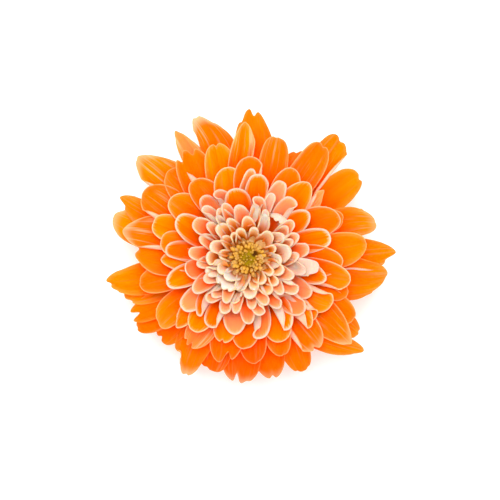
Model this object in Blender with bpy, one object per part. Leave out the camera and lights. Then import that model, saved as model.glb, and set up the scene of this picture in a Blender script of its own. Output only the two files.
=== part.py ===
"""A chrysanthemum head as picked: a stub of peduncle, the involucre, two groups of ray florets and the disc.

Metres, +Z up. The origin is the middle of the stub's cut face, on which the head rests face up.
Bearings run clockwise from +Y, seen from above.
"""

import math
import random

import bmesh
import bpy
from mathutils import Matrix, Vector

MM = 0.001
SEAT_GAP = 0.3 * MM
ROUND_SIDES = 24

# Peduncle: the stub's cut face carries the head
CUT_RADIUS = 3.8 * MM
NECK_RADIUS = 3.3 * MM
STUB_HEIGHT = 4.2 * MM

# Involucre: a solid cup with rows of overlapping bracts
CUP_BASE_RADIUS = 4.6 * MM
CUP_RIM_RADIUS = 9.8 * MM
CUP_HEIGHT = 6.3 * MM
BRACT_ROWS = 3
BRACTS_PER_ROW = 11
BRACT_THICKNESS = 0.7 * MM
BRACT_ROOT_DEPTH = 0.3 * MM
BRACT_TIP_STANDOFF = 0.9 * MM

# The hubs are the bases of the florets, grown together: the inner one stands on the outer one
OUTER_HUB_RADIUS = 10.8 * MM
OUTER_HUB_HEIGHT = 2.5 * MM
INNER_HUB_RADIUS = 7.4 * MM
INNER_HUB_HEIGHT = 3.6 * MM
INNER_HUB_FLARE = 0.8 * MM

# Disc
DISC_RADIUS = 4.6 * MM
DISC_EDGE = 0.6 * MM
DISC_CROWN = 1.5 * MM
DISC_FLORETS = 46
FLORET_RADIUS = 0.48 * MM
FLORET_HEIGHT = 0.95 * MM
GOLDEN_ANGLE = math.pi * (3 - math.sqrt(5))

# Ray florets
BLADE_THICKNESS = 0.65 * MM
CLAW_SHARE = 0.30
TIP_SHARE = 0.42
PETAL_SEED = 11

# Heights that follow from the sizes above
CUP_FOOT = STUB_HEIGHT + SEAT_GAP
CUP_TOP = CUP_FOOT + CUP_HEIGHT
OUTER_HUB_FOOT = CUP_TOP + SEAT_GAP
OUTER_HUB_TOP = OUTER_HUB_FOOT + OUTER_HUB_HEIGHT
INNER_HUB_FOOT = OUTER_HUB_TOP + SEAT_GAP
INNER_HUB_TOP = INNER_HUB_FOOT + INNER_HUB_HEIGHT
DISC_FOOT = INNER_HUB_TOP + SEAT_GAP
OUTER_ROOT_HEIGHT = OUTER_HUB_FOOT + 1.3 * MM
INNER_ROOT_HEIGHT = INNER_HUB_FOOT + 0.8 * MM

# Each petal as the bearing of its tip in degrees, its reach from the axis in mm and its share of the row's
# full width
GUARD_PETALS = (
    (2, 39.4, 1.35), (20, 30.4, 0.9), (27, 31.4, 1), (38.3, 39.6, 1.05), (52.9, 36.2, 1.1),
    (72.8, 34.6, 1.15), (88.5, 38.8, 1), (100.5, 36, 1.35), (124.5, 35.2, 0.95), (129.2, 38.9, 0.85),
    (154, 33, 0.95), (168.5, 32.3, 1.1), (183.5, 32.9, 1.35), (199, 31, 1.1), (210.8, 34.9, 1.2),
    (227.4, 31.4, 1), (236.5, 34.6, 0.95), (243.3, 34.5, 0.85), (252.6, 33.9, 1.1), (258.4, 37.9, 1.05),
    (285.6, 36.6, 1.3), (292.8, 36.9, 0.95), (313.6, 39.4, 1.2), (329.8, 38.2, 0.85), (343, 39.6, 1.3),
)
SECOND_PETALS = (
    (14, 32.3, 0.98), (33.9, 35.4, 1.05), (47.8, 26.5, 0.6), (66, 27, 0.9), (84, 31, 1.2), (109, 27.5, 1),
    (120.5, 31.9, 1.1), (129, 34.9, 1.15), (142.4, 29.8, 1.2), (160, 27, 0.9), (176, 27.5, 1),
    (194, 28.2, 1.15), (212.9, 27.7, 1), (235.3, 28.9, 1), (256, 29, 0.95), (270.5, 29.9, 1.2),
    (282.7, 33.3, 1.05), (302.8, 32.2, 1.1), (318.5, 30.7, 1.1), (329.8, 32.6, 1.25), (344.5, 30.9, 1.1),
    (359, 35.4, 0.92),
)
THIRD_PETALS = (
    (0.5, 26.3, 1.05), (27, 26, 1), (38.5, 25, 1), (64.2, 26, 1.15), (92.8, 24.6, 1.12),
    (102.2, 27.1, 0.95), (120, 24.8, 1), (132, 23.4, 0.8), (137.5, 24.1, 0.85), (156.8, 23.3, 1.05),
    (181.4, 23.5, 1.05), (197.3, 22.8, 0.9), (217.7, 23.6, 0.95), (228.3, 25.8, 0.75), (268.8, 22.6, 0.95),
    (281.3, 23, 1), (290.4, 26.2, 1), (308, 25.3, 1.12), (325, 24.6, 0.95), (345.4, 24.1, 1.08),
)
FOURTH_PETALS = (
    (2.1, 23.1, 0.6), (7, 21.8, 1.05), (23.5, 21.7, 0.85), (37.1, 19.3, 0.8), (53.2, 19.6, 1),
    (74.7, 22, 1.05), (104.6, 20.9, 0.98), (120.6, 18.9, 0.85), (135.3, 20.1, 1.05), (149.9, 21.2, 0.9),
    (171.5, 20.8, 0.95), (190.2, 20.1, 1.1), (209.4, 20.4, 0.85), (221.1, 19.1, 0.75), (232.2, 21.4, 0.98),
    (253.1, 22, 1.02), (276, 21.4, 0.85), (298, 21.1, 1.25), (323.6, 19.7, 0.8), (335.7, 19.2, 0.7),
    (349.2, 18.3, 1.2),
)
FIFTH_PETALS = (
    (9.3, 16, 0.98), (21.5, 17.9, 0.72), (35.7, 13.6, 1.05), (50, 15, 0.8), (65.8, 14.3, 0.78),
    (81.2, 15.9, 0.92), (98.2, 18.1, 0.85), (102.5, 15.2, 0.8), (123.8, 15.5, 0.88), (147.8, 15.2, 0.8),
    (166.8, 15.1, 0.82), (180, 16.9, 0.88), (205, 15.6, 0.75), (222, 15.2, 0.8), (238.6, 16.5, 0.95),
    (258, 16.2, 1.15), (275, 15.3, 0.9), (303.4, 16.9, 1.1), (319, 17.6, 0.75), (336, 15.4, 0.75),
)
SIXTH_PETALS = (
    (8.9, 14.1, 0.78), (20.6, 13.3, 0.6), (52, 13, 0.85), (68, 12.4, 0.7), (88, 13.2, 0.8),
    (113, 12.8, 0.85), (136, 12.9, 0.8), (158, 13, 0.8), (176, 13.2, 0.75), (192.3, 14.7, 0.75),
    (207, 13, 0.75), (222, 13.6, 0.8), (242.5, 12.7, 0.9), (262, 13.2, 0.85), (292.6, 13.6, 1.05),
    (310, 13.8, 0.8), (323.8, 13.6, 0.6), (328.5, 14.8, 1), (349.4, 13.9, 1),
)
SEVENTH_PETALS = (
    (357.5, 10.7, 0.9), (22.8, 12.5, 0.8), (57.4, 10.9, 0.9), (80, 11.2, 1.3), (111.8, 9.8, 1),
    (130.4, 10.2, 0.85), (147, 10.8, 1.2), (175, 10.4, 1), (200, 12.1, 1.3), (216.7, 9.8, 1.3),
    (250.8, 11.5, 1), (267.5, 10.7, 1.25), (288.7, 10.3, 1.1), (316, 11.6, 1.1), (333, 11.4, 0.8),
)
EIGHTH_PETALS = (
    (11.2, 8.1, 0.75), (41.8, 8.8, 1.15), (68, 7.6, 0.8), (96, 8.7, 1.1), (122, 7.7, 0.8), (147.2, 7.7, 1),
    (167.8, 8.5, 0.95), (194.4, 8.8, 1.3), (222, 8.2, 1.1), (247.9, 8.5, 1), (278.3, 7.5, 0.95),
    (308, 8.7, 0.9), (327, 7.5, 0.75), (344.2, 8, 0.95),
)

# Each row's root radius, how high its tips stand above the roots and how far its petals bend over, their
# full width, how far their halves fold up, how far along they are widest, and where along them the blade is
# cut. The lowest two rows lie nearly flat, so their blades have no fold.
OUTER_ROWS = (
    {"petals": GUARD_PETALS, "root": 9.8, "tip": 2.8, "bend": 44, "width": 8.2, "cup": 0, "widest": 0.62,
     "cuts": (0.46, 0.82)},
    {"petals": SECOND_PETALS, "root": 9.2, "tip": 9.2, "bend": 41, "width": 8.0, "cup": 0, "widest": 0.64,
     "cuts": (0.46, 0.82)},
    {"petals": THIRD_PETALS, "root": 8.6, "tip": 12.0, "bend": 40, "width": 7.0, "cup": 14, "widest": 0.66,
     "cuts": (0.42, 0.82)},
    {"petals": FOURTH_PETALS, "root": 8.0, "tip": 13.0, "bend": 36, "width": 5.8, "cup": 18, "widest": 0.66,
     "cuts": (0.42, 0.82)},
)
INNER_ROWS = (
    {"petals": FIFTH_PETALS, "root": 6.9, "tip": 12.0, "bend": 30, "width": 4.8, "cup": 32, "widest": 0.66,
     "cuts": (0.42, 0.80)},
    {"petals": SIXTH_PETALS, "root": 6.4, "tip": 11.2, "bend": 22, "width": 4.2, "cup": 38, "widest": 0.66,
     "cuts": (0.42, 0.80)},
    {"petals": SEVENTH_PETALS, "root": 5.8, "tip": 10.3, "bend": 16, "width": 4.1, "cup": 44, "widest": 0.66,
     "cuts": (0.66,)},
    {"petals": EIGHTH_PETALS, "root": 5.2, "tip": 8.2, "bend": 8, "width": 3.7, "cup": 50, "widest": 0.66,
     "cuts": (0.66,)},
)


def finish(name, colour, roughness):
    """A plain Principled finish."""
    made = bpy.data.materials.new(name)
    made.use_nodes = True
    shader = made.node_tree.nodes["Principled BSDF"]
    shader.inputs["Base Color"].default_value = (*colour, 1.0)
    shader.inputs["Roughness"].default_value = roughness
    shader.inputs["Metallic"].default_value = 0.0
    return made


def placed(name, mesh, collection=None):
    made = bpy.data.objects.new(name, mesh)
    (collection or bpy.context.scene.collection).objects.link(made)
    return made


def turned(name, profile):
    """A solid of revolution from (radius, height) points that start and end on the axis."""
    shape = bmesh.new()
    points = [shape.verts.new((radius, 0, height)) for radius, height in profile]
    edges = [shape.edges.new(pair) for pair in zip(points, points[1:])]
    bmesh.ops.spin(
        shape, geom=points + edges, axis=(0, 0, 1), cent=(0, 0, 0), angle=math.tau, steps=ROUND_SIDES,
        use_merge=True
    )
    bmesh.ops.remove_doubles(shape, verts=shape.verts, dist=0.001 * MM)
    bmesh.ops.recalc_face_normals(shape, faces=shape.faces)
    mesh = bpy.data.meshes.new(name)
    shape.to_mesh(mesh)
    shape.free()
    return placed(name, mesh)


def islands_of(shape):
    """The sets of faces that hang together across edges of two faces."""
    left = set(shape.faces)
    found = []
    while left:
        waiting = [left.pop()]
        island = []
        while waiting:
            face = waiting.pop()
            island.append(face)
            shared = [edge.link_faces for edge in face.edges if len(edge.link_faces) == 2]
            near = {other for pair in shared for other in pair} & left
            left -= near
            waiting.extend(near)
        found.append(island)
    return found


def keep_largest_island(mesh):
    """Fills the hollows that a union seals between crossing blades, and drops loose scraps."""
    shape = bmesh.new()
    shape.from_mesh(mesh)
    bmesh.ops.triangulate(shape, faces=shape.faces)
    spare = sorted(islands_of(shape), key=len)[:-1]
    bmesh.ops.delete(shape, geom=[face for island in spare for face in island], context="FACES")
    shape.to_mesh(mesh)
    shape.free()


def grown_together(body, repeats, colour):
    """Unites the body with the repeats of a collection, and leaves one mesh."""
    union = body.modifiers.new("grown_together", "BOOLEAN")
    union.operation = "UNION"
    union.solver = "MANIFOLD"
    union.operand_type = "COLLECTION"
    union.collection = repeats
    bpy.context.view_layer.objects.active = body
    bpy.ops.object.modifier_apply(modifier=union.name)
    for piece in list(repeats.objects):
        bpy.data.objects.remove(piece)
    bpy.data.collections.remove(repeats)
    keep_largest_island(body.data)
    body.data.materials.clear()
    body.data.materials.append(colour)
    for face in body.data.polygons:
        face.material_index = 0
    body.data.shade_smooth()
    body.data.set_sharp_from_angle(angle=math.radians(38))


def repeats_of(name):
    made = bpy.data.collections.new(name)
    bpy.context.scene.collection.children.link(made)
    return made


def lofted(name, rings, collection):
    """A closed blade from rings of points, with like diagonals on its upper and lower face."""
    shape = bmesh.new()
    rows = [[shape.verts.new(point) for point in ring] for ring in rings]
    sides = len(rows[0])
    for near, far in zip(rows, rows[1:]):
        for i in range(sides):
            j = (i + 1) % sides
            lower_half = i >= sides // 2
            if lower_half:
                shape.faces.new((near[i], near[j], far[i]))
                shape.faces.new((near[j], far[j], far[i]))
            else:
                shape.faces.new((near[i], near[j], far[j]))
                shape.faces.new((near[i], far[j], far[i]))
    for end in (rows[0], rows[-1]):
        for i in range(sides // 2 - 1):
            shape.faces.new((end[i], end[i + 1], end[-2 - i], end[-1 - i]))
    bmesh.ops.recalc_face_normals(shape, faces=shape.faces)
    mesh = bpy.data.meshes.new(name)
    shape.to_mesh(mesh)
    shape.free()
    return placed(name, mesh, collection)


def outline(along, widest):
    """The share of its full width that a petal has at this part of its length."""
    if along < widest:
        return CLAW_SHARE + (1 - CLAW_SHARE) * math.sin(0.5 * math.pi * along / widest)
    past = (along - widest) / (1 - widest)
    return max(TIP_SHARE, math.sqrt(max(0.0, 1 - past * past)))


def arc_point(run, rise, fall, along):
    """Distance out, height and slope along an arc over this run, whose slope turns from rise to fall."""
    turn = fall - rise
    slope = rise + turn * along
    whole = math.sin(fall) - math.sin(rise)
    out = run * (math.sin(slope) - math.sin(rise)) / whole
    up = run * (math.cos(rise) - math.cos(slope)) / whole
    return out, up, slope


def petal(row, root_height, spec, chance, collection):
    """One ray floret: a folded, rounded blade on an arc, turned to its bearing."""
    bearing, reach, share = spec
    tip_height = (row["tip"] + chance.uniform(-0.5, 0.5)) * MM
    bend = math.radians(row["bend"] + chance.uniform(-4, 4))
    roll = math.radians(13 + chance.uniform(-3, 3))
    cup = math.radians(row["cup"] * chance.uniform(0.8, 1.2))
    lean = math.radians(chance.uniform(-4, 4))
    root = row["root"] * MM
    run = reach * MM - root
    incline = math.atan2(tip_height, run)
    half = 0.5 * row["width"] * share * MM
    drop = BLADE_THICKNESS / math.cos(cup)
    heading = Matrix.Rotation(-math.radians(bearing), 3, "Z")
    rings = []
    for along in (0, *row["cuts"], 1):
        out, up, slope = arc_point(run, incline + 0.5 * bend, incline - 0.5 * bend, along)
        reach_here = half * outline(along, row["widest"])
        upward = Vector((0, -math.sin(slope), math.cos(slope)))
        turn = Matrix.Rotation(roll, 3, Vector((0, math.cos(slope), math.sin(slope))))
        side = Vector((math.cos(cup), 0, 0)) * reach_here
        lift = upward * math.sin(cup) * reach_here
        middle = Vector((math.sin(lean) * (out - run), root + out, root_height + up))
        top = [lift - side, Vector((0, 0, 0)), lift + side] if row["cup"] else [-side, side]
        bottom = [point - upward * drop for point in reversed(top)]
        rings.append([heading @ (middle + turn @ point) for point in top + bottom])
    return lofted("petal", rings, collection)


def ray_florets(name, hub_profile, rows, root_height, colour, seed):
    """Rows of petals whose roots are sunk in their hub."""
    hub = turned(name, hub_profile)
    petals = repeats_of(name + "_petals")
    for number, row in enumerate(rows):
        chance = random.Random(seed + number)
        for spec in row["petals"]:
            petal(row, root_height, spec, chance, petals)
    grown_together(hub, petals, colour)
    return hub


def peduncle():
    stub = turned("peduncle", (
        (0, 0), (CUT_RADIUS, 0), (NECK_RADIUS, 0.35 * STUB_HEIGHT), (NECK_RADIUS, 0.7 * STUB_HEIGHT),
        (CUP_BASE_RADIUS, STUB_HEIGHT), (0, STUB_HEIGHT),
    ))
    stub.data.materials.append(finish("stem_green", (0.16, 0.24, 0.07), 0.55))
    stub.data.shade_smooth()
    stub.data.set_sharp_from_angle(angle=math.radians(38))
    return stub


def cup_radius(share):
    """The receptacle's radius at this share of the cup's height."""
    return CUP_BASE_RADIUS + (CUP_RIM_RADIUS - CUP_BASE_RADIUS) * math.sin(0.5 * math.pi * share) ** 0.9


def bract(row, bearing, collection):
    """A pointed scale that lies against the cup, its tip a little clear of it."""
    low = 0.04 + 0.22 * row
    high = low + 0.48
    half = (1.4 + 0.35 * row) * MM
    heading = Matrix.Rotation(-bearing, 3, "Z")
    rings = []
    for along, share in ((0, 0.75), (0.5, 1.0), (1, 0.22)):
        level = low + (high - low) * along
        radius = cup_radius(level) + (BRACT_TIP_STANDOFF + BRACT_ROOT_DEPTH) * along - BRACT_ROOT_DEPTH
        height = CUP_FOOT + CUP_HEIGHT * level
        width = half * share
        curl = width * width / (2 * radius)
        back = radius - BRACT_THICKNESS - curl
        corners = ((-width, radius - curl), (0, radius), (width, radius - curl), (0, back))
        rings.append([heading @ Vector((x, y, height)) for x, y in corners])
    return lofted("bract", rings, collection)


def involucre():
    levels = (0, 0.12, 0.3, 0.5, 0.75, 1)
    side = [(cup_radius(level), CUP_FOOT + CUP_HEIGHT * level) for level in levels]
    cup = turned("involucre", [(0, CUP_FOOT), *side, (0, CUP_TOP)])
    bracts = repeats_of("bracts")
    for row in range(BRACT_ROWS):
        for i in range(BRACTS_PER_ROW):
            bract(row, math.tau * (i + 0.5 * (row % 2)) / BRACTS_PER_ROW, bracts)
    grown_together(cup, bracts, finish("bract_green", (0.13, 0.2, 0.06), 0.6))
    return cup


def floret(number, collection):
    """An unopened floret: a six-sided bud that leans outwards from the dome."""
    share = math.sqrt((number + 0.5) / DISC_FLORETS)
    distance = DISC_RADIUS * share
    angle = number * GOLDEN_ANGLE
    height = DISC_FOOT + DISC_EDGE + DISC_CROWN * (1 - share * share)
    shape = bmesh.new()
    bmesh.ops.create_cone(
        shape, cap_ends=True, segments=5, radius1=0.8 * FLORET_RADIUS, radius2=FLORET_RADIUS,
        depth=1.6 * FLORET_HEIGHT
    )
    top = max(shape.faces, key=lambda face: face.calc_center_median().z)
    bmesh.ops.poke(shape, faces=[top], offset=0.45 * FLORET_HEIGHT)
    tilt = Matrix.Rotation(math.radians(20) * share, 4, "Y")
    place = Matrix.Rotation(angle, 4, "Z") @ Matrix.Translation((distance, 0, height)) @ tilt
    bmesh.ops.transform(shape, matrix=place, verts=shape.verts)
    mesh = bpy.data.meshes.new("floret")
    shape.to_mesh(mesh)
    shape.free()
    return placed("floret", mesh, collection)


def disc_florets():
    edge = DISC_FOOT + DISC_EDGE
    levels = (1, 0.72, 0.4)
    dome = [(DISC_RADIUS * share, edge + DISC_CROWN * (1 - share * share)) for share in levels]
    disc = turned("disc_florets", [(0, DISC_FOOT), (DISC_RADIUS, DISC_FOOT), *dome, (0, edge + DISC_CROWN)])
    buds = repeats_of("florets")
    for number in range(DISC_FLORETS):
        floret(number, buds)
    grown_together(disc, buds, finish("disc_yellow_green", (0.5, 0.33, 0.05), 0.6))
    return disc


def hub_profile(foot, height, radius, flare):
    return (0, foot), (radius, foot), (radius + flare, foot + height), (0, foot + height)


def main():
    for leftover in list(bpy.data.objects):
        bpy.data.objects.remove(leftover)
    peduncle()
    involucre()
    outer_hub = hub_profile(OUTER_HUB_FOOT, OUTER_HUB_HEIGHT, OUTER_HUB_RADIUS, 0)
    orange = finish("ray_orange", (0.95, 0.24, 0.01), 0.5)
    ray_florets("outer_rays", outer_hub, OUTER_ROWS, OUTER_ROOT_HEIGHT, orange, PETAL_SEED)
    inner_hub = hub_profile(INNER_HUB_FOOT, INNER_HUB_HEIGHT, INNER_HUB_RADIUS, INNER_HUB_FLARE)
    pale_orange = finish("ray_pale_orange", (0.9, 0.45, 0.2), 0.5)
    inner_seed = PETAL_SEED + len(OUTER_ROWS)
    ray_florets("inner_rays", inner_hub, INNER_ROWS, INNER_ROOT_HEIGHT, pale_orange, inner_seed)
    disc_florets()


main()
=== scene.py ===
# A picked chrysanthemum head in its finished looks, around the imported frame. Metres, +Z up.
import math
import random

import bpy
import numpy as np
from mathutils import Matrix, Vector


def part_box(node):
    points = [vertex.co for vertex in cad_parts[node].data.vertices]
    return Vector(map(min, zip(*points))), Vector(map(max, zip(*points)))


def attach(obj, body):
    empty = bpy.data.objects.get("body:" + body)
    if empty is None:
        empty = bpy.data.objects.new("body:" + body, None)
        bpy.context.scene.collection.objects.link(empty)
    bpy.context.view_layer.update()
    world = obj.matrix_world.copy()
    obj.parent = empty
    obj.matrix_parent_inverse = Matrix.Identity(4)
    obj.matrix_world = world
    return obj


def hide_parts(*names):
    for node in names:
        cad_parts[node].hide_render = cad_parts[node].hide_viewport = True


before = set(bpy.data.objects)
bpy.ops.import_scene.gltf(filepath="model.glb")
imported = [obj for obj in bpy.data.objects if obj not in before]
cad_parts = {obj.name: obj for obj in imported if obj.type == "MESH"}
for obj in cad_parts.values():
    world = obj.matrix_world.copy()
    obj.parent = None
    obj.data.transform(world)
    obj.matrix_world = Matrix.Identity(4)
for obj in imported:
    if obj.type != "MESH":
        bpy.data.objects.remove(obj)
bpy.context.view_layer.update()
mm = 0.001
goldenAngle = math.pi * (3 - math.sqrt(5))

# Heights that the frame gives
cupFoot, cupTop = (corner.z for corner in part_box("involucre"))
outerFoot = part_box("outer_rays")[0].z
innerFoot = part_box("inner_rays")[0].z
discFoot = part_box("disc_florets")[0].z

# Heights of the petals' roots in their base rings, where the solids' blades have them
outerRoots = 12.4 * mm
innerRoots = 14.7 * mm
petalSeed = 11           # draws what the petals share with the solids' blades
whimSeed = 500           # draws what only the finished petals have


# Shader maths as expressions on sockets
class Wire:
    def __init__(self, finish, socket):
        self.finish, self.socket = finish, socket

    def maths(self, operation, *values):
        return self.finish.node("ShaderNodeMath", {"operation": operation}, *values)

    def __add__(self, other):
        return self.maths("ADD", self, other)

    def __sub__(self, other):
        return self.maths("SUBTRACT", self, other)

    def __rsub__(self, other):
        return self.maths("SUBTRACT", other, self)

    def __mul__(self, other):
        return self.maths("MULTIPLY", self, other)

    __radd__ = __add__
    __rmul__ = __mul__

    def root(self):
        return self.maths("SQRT", self)

    def between(self, low, high):        # 0 below low, 1 above high, smooth in between
        settings = {"interpolation_type": "SMOOTHSTEP"}
        return self.finish.node("ShaderNodeMapRange", settings, self, low, high, 0.0, 1.0)


class Finish:
    def __init__(self, name, **constants):
        self.material = bpy.data.materials.new(name)
        self.material.use_nodes = True
        self.tree = self.material.node_tree
        self.shader = self.tree.nodes["Principled BSDF"]
        for socket, value in constants.items():
            self.shader.inputs[socket.replace("_", " ")].default_value = value

    def node(self, kind, settings=None, *values, output=0, **named):
        made = self.tree.nodes.new(kind)
        for setting, value in (settings or {}).items():
            setattr(made, setting, value)
        given = [*enumerate(values), *((name.replace("_", " "), value) for name, value in named.items())]
        for key, value in given:
            if isinstance(value, Wire):
                self.tree.links.new(value.socket, made.inputs[key])
            elif value is not None:
                made.inputs[key].default_value = value
        return Wire(self, made.outputs[output])

    def mix(self, share, first, second):
        first, second = (end if isinstance(end, Wire) else (*end, 1.0) for end in (first, second))
        others = [None] * 5                  # the node's sockets for numbers and vectors
        return self.node("ShaderNodeMix", {"data_type": "RGBA"}, share, *others, first, second, output=2)

    def attribute(self, name):
        return self.node("ShaderNodeAttribute", {"attribute_name": name}, output=2)

    def parts(self, vector):
        split = self.node("ShaderNodeSeparateXYZ", None, vector).socket.node
        return [Wire(self, output) for output in split.outputs]

    def uv(self):
        return self.parts(self.node("ShaderNodeUVMap", {"uv_map": "UVMap"}))[:2]

    def here(self):
        return self.node("ShaderNodeTexCoord", output=3)

    def place(self, x, y, z):
        return self.node("ShaderNodeCombineXYZ", None, x, y, z)

    def noise(self, vector, scale, detail=2.0, roughness=0.5):
        return self.node(
            "ShaderNodeTexNoise", None, Vector=vector, Scale=scale, Detail=detail, Roughness=roughness
        )

    def paint(self, colour, roughness=None):
        self.tree.links.new(colour.socket, self.shader.inputs["Base Color"])
        if roughness is not None:
            self.tree.links.new(roughness.socket, self.shader.inputs["Roughness"])

    def relief(self, height, depth):
        bump = self.node("ShaderNodeBump", None, Strength=1.0, Distance=depth, Height=height)
        self.tree.links.new(bump.socket, self.shader.inputs["Normal"])


petalSkin = {
    "veins": (15.0, 1.1), "veinLayer": 31.0,  # fine veins: how many across a petal and along it
    "patches": (3.2, 1.6), "patchLayer": 17.0,  # broad patches in the same way
    "shift": 7.3,  # with the layers, gives each petal its own pattern
    "lightPatch": 1.3, "lightTip": 0.45, "lightTint": 0.7, "lightAlong": (0.5, 1.0),
    "veinFrom": (0.42, 0.8),  # noise where a vein starts and where it is full
    # pale streaks, partly a painted sheen: where they start in the vein noise, along the petal, in the
    # patches, and their share
    "streakFrom": (0.5, 0.62), "streakAlong": (0.4, 0.9), "streakPatch": (0.35, 0.65), "streakShare": 0.6,
    "fray": 2.2, "blushAlong": (0.3, 1.0),  # how ragged a blush is, and where along the petal
    "paleRoot": 0.4, "paleAlong": (0.15, 0.6),  # a pale petal's share at the root, and where it is full
    "throatFrom": 0.3, "rimTip": (0.6, 1.0), "rimSure": 0.7,
    "rough": 0.5, "roughVeins": 0.25, "veinDepth": 0.035 * mm, "veinRelief": 0.6,
    "glow": 0.4, "glowReach": 1.2 * mm,  # share of light that scatters inside the thin blade
    "glowColour": (1.0, 0.3, 0.08),
}


def petalFinish(look, side):
    size, colours = petalSkin, look[side]
    skin = Finish(
        look["name"] + side.title(), Subsurface_Weight=size["glow"], Subsurface_Radius=size["glowColour"],
        Subsurface_Scale=size["glowReach"], Specular_IOR_Level=0.0
    )
    u, v = skin.uv()
    tint, pale, streak, edge, under = (
        skin.attribute(fact) for fact in ("tint", "pale", "streak", "fromEdge", "under")
    )
    u = u + tint * size["shift"]
    across, along = size["veins"]
    veins = skin.noise(skin.place(u * across, v * along, tint * size["veinLayer"]), 1.0, 3.0, 0.6)
    across, along = size["patches"]
    broad = skin.noise(skin.place(u * across, v * along, tint * size["patchLayer"]), 1.0, 1.0)

    # The orange of the blade, lighter in patches and at the tip, with its veins. Its deeper root and lighter
    # tip are partly its own colour and partly painted shade where the petals overlap
    colour = skin.mix(v.between(*look["blend"]), colours["low"], colours["high"])
    light = (broad - 0.5) * size["lightPatch"] + v.between(*size["lightAlong"]) * size["lightTip"]
    colour = skin.mix(light + (tint - 0.5) * size["lightTint"], colour, colours["light"])
    # Petals with a negative tint, those at the bottom away from the key light, take the root's deeper colour:
    # painted shade
    colour = skin.mix(tint * -look["shadeDeepening"], colour, colours["low"])
    colour = skin.mix(veins.between(*size["veinFrom"]) * look["veinShare"], colour, colours["vein"])

    # Pale streaks, partly the petal's own and partly a painted sheen, and a ragged blush along the margins,
    # then pale petals and folded margins as a whole
    streaksAndSheen = veins.between(*size["streakFrom"]) * v.between(*size["streakAlong"])
    streaksAndSheen = streaksAndSheen * broad.between(*size["streakPatch"]) * streak * size["streakShare"]
    frayed = edge + (veins - 0.5) * size["fray"] * look["blushReach"]
    blush = (1 - frayed.between(0.0, look["blushReach"])) * v.between(*size["blushAlong"])
    blush = blush * look["blush"] * (0.5 + tint)
    colour = skin.mix(blush + streaksAndSheen, colour, colours["patch"])
    whole = size["paleRoot"] + v.between(*size["paleAlong"]) * (1 - size["paleRoot"])
    colour = skin.mix(pale * whole, colour, look["paleColour"])
    if side == "back":
        colour = skin.mix(under * (0.7 + veins * 0.4), colour, colours["patch"])

    # The throat at the root, a deeper colour that is partly its own and partly painted shade down in the
    # cups, and the rim, which grows broader towards the tip
    throat = 1 - v.between(size["throatFrom"] * look["throatReach"], look["throatReach"])
    colour = skin.mix(throat * look["throat"], colour, colours["throat"])
    inward = edge - v.between(*size["rimTip"]) * look["tipRim"]
    rim = (1 - inward.between(*look["rimFade"])) * v.between(*look["rimAlong"])
    rim = rim * (size["rimSure"] + tint * (1 - size["rimSure"]))
    colour = skin.mix(rim * look["rimShare"], colour, colours["rim"])
    skin.paint(colour, size["rough"] + (veins - 0.5) * size["roughVeins"])
    skin.relief(veins * size["veinRelief"] + broad, size["veinDepth"])
    return skin.material


# The faces' deeper "low" and "throat" colours at the root are partly the petals' own and partly painted shade
orangeFace = dict(
    low=(1.0, 0.05, 0.0), high=(1.0, 0.155, 0.0), light=(1.0, 0.27, 0.0), vein=(1.0, 0.1, 0.0),
    rim=(1.0, 0.36, 0.07), patch=(1.0, 0.58, 0.34), throat=(0.95, 0.02, 0.0)
)
orangeBack = dict(
    low=(0.98, 0.16, 0.0), high=(0.98, 0.22, 0.01), light=(0.98, 0.34, 0.08), vein=(0.97, 0.15, 0.0),
    rim=(1.0, 0.3, 0.03), patch=(0.95, 0.58, 0.42), throat=(0.9, 0.2, 0.0)
)
peachBack = dict(orangeBack, rim=(0.92, 0.5, 0.32))
# The pale backs' orange root and warm rims are partly their own colour and partly painted orange light,
# bounced and passed between the petals into their shade
paleBack = dict(
    low=(1.0, 0.27, 0.0), high=(0.96, 0.5, 0.25), light=(0.92, 0.58, 0.38), vein=(0.96, 0.38, 0.12),
    rim=(0.78, 0.53, 0.34), patch=(0.76, 0.63, 0.53), throat=(1.0, 0.2, 0.0)
)
creamBack = dict(
    low=(1.0, 0.36, 0.02), high=(0.93, 0.62, 0.36), light=(0.88, 0.7, 0.5), vein=(0.92, 0.46, 0.18),
    rim=(0.82, 0.58, 0.34), patch=(0.8, 0.7, 0.57), throat=(1.0, 0.28, 0.0)
)
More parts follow.
